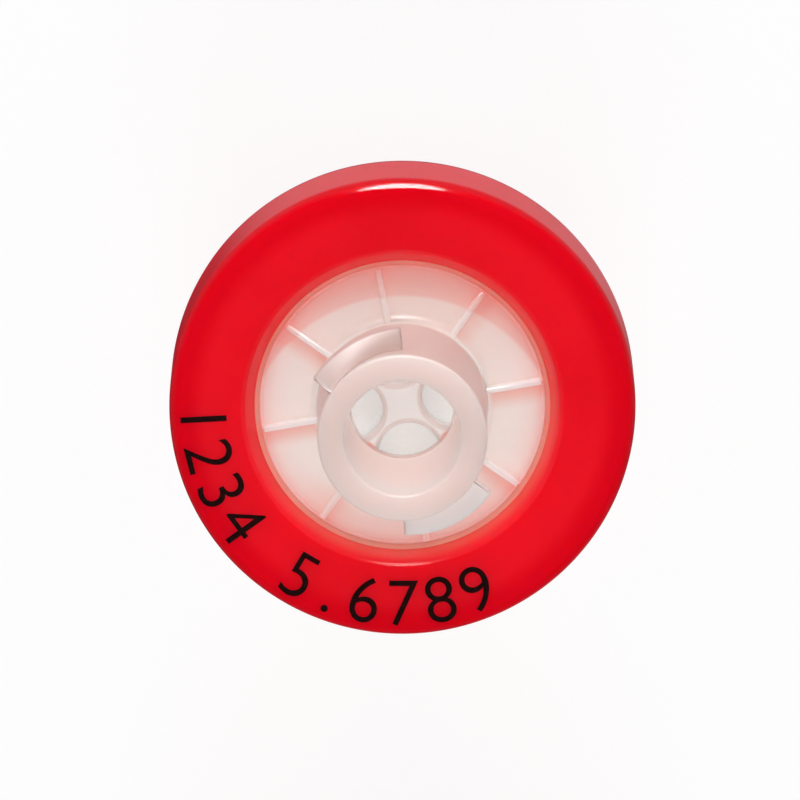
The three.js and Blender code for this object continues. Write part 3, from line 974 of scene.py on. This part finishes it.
def studio_sky(studio):
    """Even light from all round. The camera sees white, and a glossy face sees it dim."""
    world = bpy.data.worlds.new("Studio")
    world.use_nodes = True
    background = world.node_tree.nodes["Background"]
    sky = Shading(world.node_tree)
    camera, glossy = sky.ray("Camera"), sky.ray("Glossy")
    unseen = glossy * studio.zenith + (1 - glossy) * studio.sky
    sky.feed(background.inputs["Strength"], camera + (1 - camera) * unseen)
    background.inputs["Color"].default_value = (1, 1, 1, 1)
    return world


def area_lamp(name, studio, angle, power, width, height, diffuse=True, glossy=True):
    """An oval lamp at an angle from the flow axis towards +Y. It may light only by gloss, or only without."""
    aim = Vector((0, 0, ring_top_z))
    where = aim + Vector((0, math.sin(angle), math.cos(angle))) * studio.lamp_distance
    lamp = bpy.data.lights.new(name, "AREA")
    lamp.shape = "ELLIPSE"
    lamp.size = width
    lamp.size_y = height
    lamp.energy = power
    holder = bpy.data.objects.new(name, lamp)
    holder.location = where
    holder.rotation_euler = (aim - where).to_track_quat("-Z", "Y").to_euler()
    holder.visible_diffuse = diffuse
    holder.visible_glossy = glossy
    bpy.context.scene.collection.objects.link(holder)


def place_camera(studio):
    lens = bpy.data.cameras.new("Camera")
    lens.lens = studio.lens
    lens.clip_start = 10 * MM
    camera = bpy.data.objects.new("Camera", lens)
    turn = Matrix.Rotation(-studio.tilt, 3, "X")
    offset = turn @ Vector((-studio.aside, studio.above, studio.distance))
    camera.location = Vector((0, 0, ring_top_z)) + offset
    camera.rotation_euler = turn.to_euler()
    bpy.context.scene.collection.objects.link(camera)
    bpy.context.scene.camera = camera


def build_stage(finish, studio):
    scene = bpy.context.scene
    scene.view_settings.view_transform = "Standard"
    scene.world = studio_sky(studio)

    shape = bmesh.new()
    bmesh.ops.create_circle(shape, cap_ends=True, segments=64, radius=FLOOR_RADIUS)
    bmesh.ops.translate(shape, verts=shape.verts, vec=(0, 0, tip_z))
    floor = as_object("floor", shape)
    floor.data.materials.append(floor_finish(finish, studio))

    area_lamp("Key", studio, studio.key_angle, studio.key, width=120 * MM, height=80 * MM, glossy=False)
    area_lamp(
        "Shine", studio, studio.shine_angle, studio.shine, width=130 * MM, height=300 * MM, diffuse=False)
    area_lamp(
        "Overhead", studio, studio.overhead_angle, studio.overhead,
        width=160 * MM, height=160 * MM, glossy=False)
    area_lamp("Fill", studio, studio.fill_angle, studio.fill, width=200 * MM, height=200 * MM, glossy=False)
    place_camera(studio)


# ---------------------------------------------------------------- operators


class FILTER_OT_stage(bpy.types.Operator):
    """Sets up the floor, lamps, sky and camera"""

    bl_idname = "filter.stage"
    bl_label = "Stage"

    def execute(self, context):
        scene = context.scene
        build_stage(scene.filter_finish, scene.filter_studio)
        return {"FINISHED"}


class FILTER_OT_inlet(bpy.types.Operator):
    """Moulds the inlet half: plate, ribs, hub, lugs and baffle"""

    bl_idname = "filter.inlet"
    bl_label = "Inlet half"

    def execute(self, context):
        scene = context.scene
        finish = polypropylene("Inlet polypropylene", scene.filter_finish, scene.filter_body)
        dress(build_inlet(scene.filter_body), finish, "inlet_housing")
        return {"FINISHED"}


class FILTER_OT_outlet(bpy.types.Operator):
    """Moulds the outlet half: pocket, drain pattern, collar and nozzle"""

    bl_idname = "filter.outlet"
    bl_label = "Outlet half"

    def execute(self, context):
        scene = context.scene
        finish = polypropylene("Outlet polypropylene", scene.filter_finish, scene.filter_body)
        dress(build_outlet(scene.filter_body), finish, "outlet_housing")
        return {"FINISHED"}


class FILTER_OT_membrane(bpy.types.Operator):
    """Gives the membrane its matt white finish"""

    bl_idname = "filter.membrane"
    bl_label = "Membrane"

    def execute(self, context):
        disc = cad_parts["membrane"]
        disc.data.materials.clear()
        disc.data.materials.append(membrane_finish(context.scene.filter_finish))
        return {"FINISHED"}


class FILTER_OT_ring(bpy.types.Operator):
    """Moulds the coloured ring round both rims"""

    bl_idname = "filter.ring"
    bl_label = "Ring"

    def execute(self, context):
        scene = context.scene
        finish = ring_finish(scene.filter_finish, scene.filter_ring)
        dress(build_ring(scene.filter_body, scene.filter_ring), finish, "overmould_ring")
        return {"FINISHED"}


class FILTER_OT_digits(bpy.types.Operator):
    """Prints plain digits on the ring"""

    bl_idname = "filter.digits"
    bl_label = "Digits"

    def execute(self, context):
        scene = context.scene
        finish = ink_finish(scene.filter_finish)
        dress(build_print(scene.filter_ring), finish)
        return {"FINISHED"}


class FILTER_PT_panel(bpy.types.Panel):
    """Lists the filter's pieces"""

    bl_idname = "FILTER_PT_panel"
    bl_label = "Syringe filter"
    bl_space_type = "VIEW_3D"
    bl_region_type = "UI"
    bl_category = "Filter"

    def draw(self, context):
        for operator in PIECES:
            self.layout.operator(operator.bl_idname)


PIECES = (
    FILTER_OT_stage, FILTER_OT_inlet, FILTER_OT_outlet, FILTER_OT_membrane, FILTER_OT_ring, FILTER_OT_digits)
SETTINGS = {
    "filter_body": BodySettings,
    "filter_ring": RingSettings,
    "filter_finish": FinishSettings,
    "filter_studio": StudioSettings,
}


def register():
    for group in SETTINGS.values():
        bpy.utils.register_class(group)
    for kind in (*PIECES, FILTER_PT_panel):
        bpy.utils.register_class(kind)
    for name, group in SETTINGS.items():
        setattr(bpy.types.Scene, name, bpy.props.PointerProperty(type=group))


def unregister():
    for name in SETTINGS:
        delattr(bpy.types.Scene, name)
    for kind in (FILTER_PT_panel, *reversed(PIECES)):
        bpy.utils.unregister_class(kind)
    for group in reversed(SETTINGS.values()):
        bpy.utils.unregister_class(group)


def main():
    register()
    bpy.ops.filter.stage()
    bpy.ops.filter.inlet()
    bpy.ops.filter.outlet()
    bpy.ops.filter.membrane()
    bpy.ops.filter.ring()
    bpy.ops.filter.digits()


if __name__ == "__main__":
    main()
